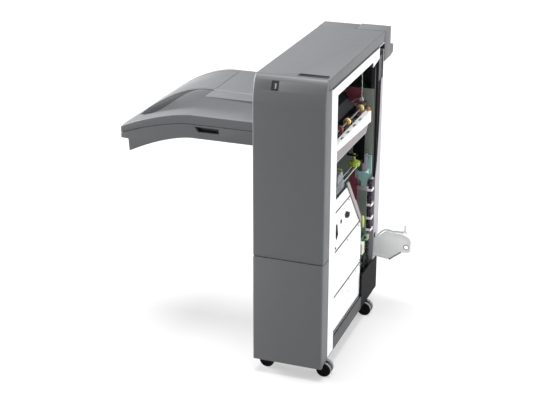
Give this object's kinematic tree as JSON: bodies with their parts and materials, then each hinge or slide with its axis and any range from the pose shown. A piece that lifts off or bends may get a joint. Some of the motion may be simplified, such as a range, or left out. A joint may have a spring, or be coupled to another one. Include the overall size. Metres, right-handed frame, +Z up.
{
  "type": "copier staple finisher",
  "caption": "Floor-standing staple finisher that docks to a copier: narrow cabinet on casters, hinged front door and top cover, a lifting stack tray and a fixed upper tray",
  "frame": {"origin": "centre of the bounding box's base, on the floor", "axes": "+Z up, -Y the front door's side, +X the open side that docks to the copier, -X the side with the paper trays"},
  "size_m": [0.8896, 0.771, 1.008],
  "materials": {
    "cover_plastic": "fine textured moulding",
    "top_plastic": "fine textured moulding",
    "tray_plastic": "fine textured moulding",
    "white_paint": "satin",
    "grey_paint": "satin",
    "pan_paint": "satin",
    "black_paint": "satin",
    "zinc": "plated",
    "green_grey_paint": "satin",
    "maroon_paint": "satin",
    "teal_paint": "satin",
    "pink_grey_paint": "satin",
    "beige_plastic": "satin",
    "motor_steel": "satin",
    "board": "solder mask",
    "connector": "moulded",
    "channel_plastic": "satin",
    "loom_sleeve": "taped",
    "pale_wire": "insulation",
    "cable_sheath": "matt sheath",
    "plug_plastic": "moulded",
    "belt_rubber": "matt",
    "window_plastic": "smooth tinted",
    "roller_rubber": "ground",
    "idler_plastic": "moulded",
    "gate_plastic": "moulded",
    "stapler_plastic": "moulded",
    "release_green": "moulded",
    "flag_plastic": "moulded",
    "fork_plastic": "moulded",
    "caster_tread": "matt"
  },
  "bodies": {
    "frame": {"base_pan": "pan_paint", "caster_sockets": "zinc", "front_side_plate": "white_paint", "rear_side_plate": "green_grey_paint", "front_post": "white_paint", "rear_post": "grey_paint", "top_frame": "white_paint", "lower_rear_plate": "black_paint", "hinge_post": "zinc", "cover_hinge_brackets": "zinc", "inner_panels": "white_paint", "guide_panel": "white_paint", "guide_rail": "beige_plastic", "entrance_guide": "white_paint", "guide_support": "pink_grey_paint", "path_guides": "zinc", "compile_tray": "zinc", "guide_rods": "zinc", "rear_wall_plate": "maroon_paint", "motor_plate": "teal_paint", "drive_motor": "motor_steel", "control_board": "board", "board_connectors": "connector", "cable_channel": "channel_plastic", "wire_harness": "loom_sleeve", "harness_clips": "connector", "sensor_wire": "pale_wire", "left_cover": "cover_plastic", "rear_cover": "cover_plastic", "rear_top_cover": "top_plastic", "corner_hood": "top_plastic", "lower_front_cover": "cover_plastic", "upper_tray": "tray_plastic", "docking_bracket": "white_paint", "interface_cable": "cable_sheath", "interface_plug": "plug_plastic", "drive_belt": "belt_rubber"},
    "door": {"front_door": "cover_plastic", "status_window": "window_plastic"},
    "tray": {"tray_deck": "tray_plastic", "tray_shell": "cover_plastic", "tray_carriage": "zinc"},
    "top_cover": {"top_cover": "top_plastic"},
    "entrance_roller": {"entrance_roller": "roller_rubber"},
    "idler_roller": {"idler_roller": "idler_plastic"},
    "upper_exit_roller": {"upper_exit_roller": "roller_rubber"},
    "main_exit_roller": {"main_exit_roller": "roller_rubber"},
    "diverter_gate": {"diverter_gate": "gate_plastic"},
    "stapler": {"stapler": "stapler_plastic"},
    "jam_knob": {"jam_knob": "release_green"},
    "jam_lever": {"jam_lever": "release_green"},
    "stack_flag": {"stack_flag": "flag_plastic"},
    "caster_fork_front_right": {"caster_fork_front_right": "fork_plastic"},
    "caster_wheel_front_right": {"caster_wheel_front_right": "caster_tread"},
    "caster_fork_front_left": {"caster_fork_front_left": "fork_plastic"},
    "caster_wheel_front_left": {"caster_wheel_front_left": "caster_tread"},
    "caster_fork_rear_right": {"caster_fork_rear_right": "fork_plastic"},
    "caster_wheel_rear_right": {"caster_wheel_rear_right": "caster_tread"},
    "caster_fork_rear_left": {"caster_fork_rear_left": "fork_plastic"},
    "caster_wheel_rear_left": {"caster_wheel_rear_left": "caster_tread"}
  },
  "joints": [
    {"name": "front_door_hinge", "type": "hinge", "parent": "frame", "child": "door", "pos_m": [0.08075, -0.3775, 0.67], "axis": [0, 0, -1], "range_deg": [0, 100]},
    {"name": "top_cover_hinge", "type": "hinge", "parent": "frame", "child": "top_cover", "pos_m": [0.08075, -0.0405, 0.978], "axis": [0, -1, 0], "range_deg": [0, 55]},
    {"name": "tray_lift", "type": "slide", "parent": "frame", "child": "tray", "axis": [0, 0, 1], "range_m": [-0.43, 0]},
    {"name": "entrance_roller_spin", "type": "hinge", "parent": "frame", "child": "entrance_roller", "pos_m": [0.27975, -0.0455, 0.7615], "axis": [0, -1, 0], "continuous": true},
    {"name": "idler_roller_spin", "type": "hinge", "parent": "frame", "child": "idler_roller", "pos_m": [0.27975, -0.0455, 0.784], "axis": [0, -1, 0], "continuous": true},
    {"name": "upper_exit_spin", "type": "hinge", "parent": "frame", "child": "upper_exit_roller", "pos_m": [0.09575, -0.0455, 0.886], "axis": [0, -1, 0], "continuous": true},
    {"name": "main_exit_spin", "type": "hinge", "parent": "frame", "child": "main_exit_roller", "pos_m": [0.09175, -0.0455, 0.806], "axis": [0, -1, 0], "continuous": true},
    {"name": "diverter_gate_pivot", "type": "hinge", "parent": "frame", "child": "diverter_gate", "pos_m": [0.20975, -0.0455, 0.801], "axis": [0, -1, 0], "range_deg": [0, 10]},
    {"name": "stapler_slide", "type": "slide", "parent": "frame", "child": "stapler", "axis": [0, 1, 0], "range_m": [-0.02, 0.13]},
    {"name": "jam_knob_turn", "type": "hinge", "parent": "frame", "child": "jam_knob", "pos_m": [0.27975, 0.0345, 0.62], "axis": [0, 0, 1], "continuous": true},
    {"name": "jam_lever_pivot", "type": "hinge", "parent": "frame", "child": "jam_lever", "pos_m": [0.30475, 0.0625, 0.4], "axis": [1, 0, 0], "range_deg": [-30, 30]},
    {"name": "stack_flag_pivot", "type": "hinge", "parent": "frame", "child": "stack_flag", "pos_m": [0.08575, -0.0615, 0.856], "axis": [0, 1, 0], "range_deg": [0, 18]},
    {"name": "swivel_front_right", "type": "hinge", "parent": "frame", "child": "caster_fork_front_right", "pos_m": [0.28575, -0.3255, 0.065], "axis": [0, 0, 1], "continuous": true},
    {"name": "roll_front_right", "type": "hinge", "parent": "caster_fork_front_right", "child": "caster_wheel_front_right", "pos_m": [0.30375, -0.3255, 0.025], "axis": [0, 1, 0], "continuous": true},
    {"name": "swivel_front_left", "type": "hinge", "parent": "frame", "child": "caster_fork_front_left", "pos_m": [0.12575, -0.3255, 0.065], "axis": [0, 0, 1], "continuous": true},
    {"name": "roll_front_left", "type": "hinge", "parent": "caster_fork_front_left", "child": "caster_wheel_front_left", "pos_m": [0.10775, -0.3255, 0.025], "axis": [0, 1, 0], "continuous": true},
    {"name": "swivel_rear_right", "type": "hinge", "parent": "frame", "child": "caster_fork_rear_right", "pos_m": [0.28575, 0.1435, 0.065], "axis": [0, 0, 1], "continuous": true},
    {"name": "roll_rear_right", "type": "hinge", "parent": "caster_fork_rear_right", "child": "caster_wheel_rear_right", "pos_m": [0.30375, 0.1435, 0.025], "axis": [0, 1, 0], "continuous": true},
    {"name": "swivel_rear_left", "type": "hinge", "parent": "frame", "child": "caster_fork_rear_left", "pos_m": [0.12575, 0.1435, 0.065], "axis": [0, 0, 1], "continuous": true},
    {"name": "roll_rear_left", "type": "hinge", "parent": "caster_fork_rear_left", "child": "caster_wheel_rear_left", "pos_m": [0.10775, 0.1435, 0.025], "axis": [0, 1, 0], "continuous": true}
  ],
  "couplings": [
    {"joint": "idler_roller_spin", "follows": "entrance_roller_spin", "ratio": -0.86957},
    {"joint": "upper_exit_spin", "follows": "entrance_roller_spin", "ratio": 1},
    {"joint": "main_exit_spin", "follows": "entrance_roller_spin", "ratio": 1}
  ]
}
